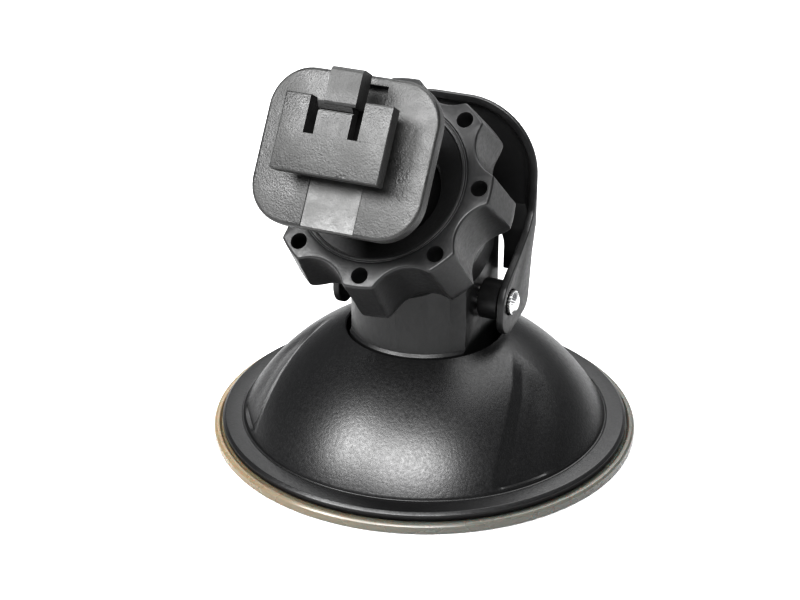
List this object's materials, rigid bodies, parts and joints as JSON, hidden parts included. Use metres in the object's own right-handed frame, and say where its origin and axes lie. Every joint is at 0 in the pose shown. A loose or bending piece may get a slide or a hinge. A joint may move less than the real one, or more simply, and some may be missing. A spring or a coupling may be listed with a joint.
{
  "type": "dash camera windscreen mount",
  "caption": "Suction-cup windscreen mount for a small dash camera: domed base with a cam locking lever, tilted lobed clamp knob and a ball-jointed plate with a latching T-lug.",
  "frame": {"origin": "centre of the suction cup's flat underside, where it meets the glass", "axes": "+Z out of the windscreen along the post, X along the lever's pin, -Y the front, the side that the mount plate faces"},
  "size_m": [0.058, 0.0586, 0.0584],
  "materials": {
    "moulded_black": "satin black moulding with a fine texture",
    "nylon": "black, slightly waxy",
    "rubber": "matte black",
    "steel": "bright drawn steel",
    "clear_soft": "clear soft plastic, slightly yellow at the rim"
  },
  "bodies": {
    "base": {"suction_cup": "clear_soft", "dome_housing": "moulded_black"},
    "post": {"post": "moulded_black", "cup_anchor": "moulded_black", "anchor_screw": "steel", "lever_pin": "steel"},
    "lever": {"cam_lever": "moulded_black"},
    "ring": {"clamp_ring": "nylon"},
    "knob": {"clamp_knob": "moulded_black"},
    "seat": {"seat_pad": "rubber"},
    "ball": {"ball": "moulded_black"},
    "plate": {"ball_stud": "moulded_black", "mount_plate": "moulded_black"},
    "latch": {"latch_tongue": "moulded_black"}
  },
  "joints": [
    {"name": "post_lift", "type": "slide", "parent": "base", "child": "post", "axis": [0, 0, 1], "range_m": [0, 0.0012]},
    {"name": "lever_fold", "type": "hinge", "parent": "post", "child": "lever", "pos_m": [0, 0, 0.0209], "axis": [-1, 0, 0], "range_deg": [0, 70]},
    {"name": "clamp_slide", "type": "slide", "parent": "post", "child": "ring", "axis": [0, -0.7071, 0.7071], "range_m": [0, 0.001]},
    {"name": "knob_turn", "type": "hinge", "parent": "ring", "child": "knob", "pos_m": [0, -0.0135, 0.0411], "axis": [0, -0.7071, 0.7071], "range_deg": [0, 180]},
    {"name": "ball_swivel", "type": "hinge", "parent": "post", "child": "seat", "pos_m": [0, -0.00926, 0.03686], "axis": [0, -0.7071, 0.7071], "range_deg": [-180, 180]},
    {"name": "ball_nod", "type": "hinge", "parent": "seat", "child": "ball", "pos_m": [0, -0.00926, 0.03686], "axis": [1, 0, 0], "range_deg": [-38, 12]},
    {"name": "stud_spin", "type": "hinge", "parent": "ball", "child": "plate", "pos_m": [0, -0.00926, 0.03686], "axis": [0, -0.848, 0.5299], "range_deg": [-180, 180]},
    {"name": "latch_flex", "type": "hinge", "parent": "plate", "child": "latch", "pos_m": [-0.00035, -0.02658, 0.05122], "axis": [-1, 0, 0], "range_deg": [0, 8], "stiffness_Nm_per_rad": 0.15}
  ],
  "couplings": [
    {"joint": "lever_fold", "follows": "post_lift", "rad_per_m": 1018},
    {"joint": "knob_turn", "follows": "clamp_slide", "rad_per_m": 3141}
  ]
}
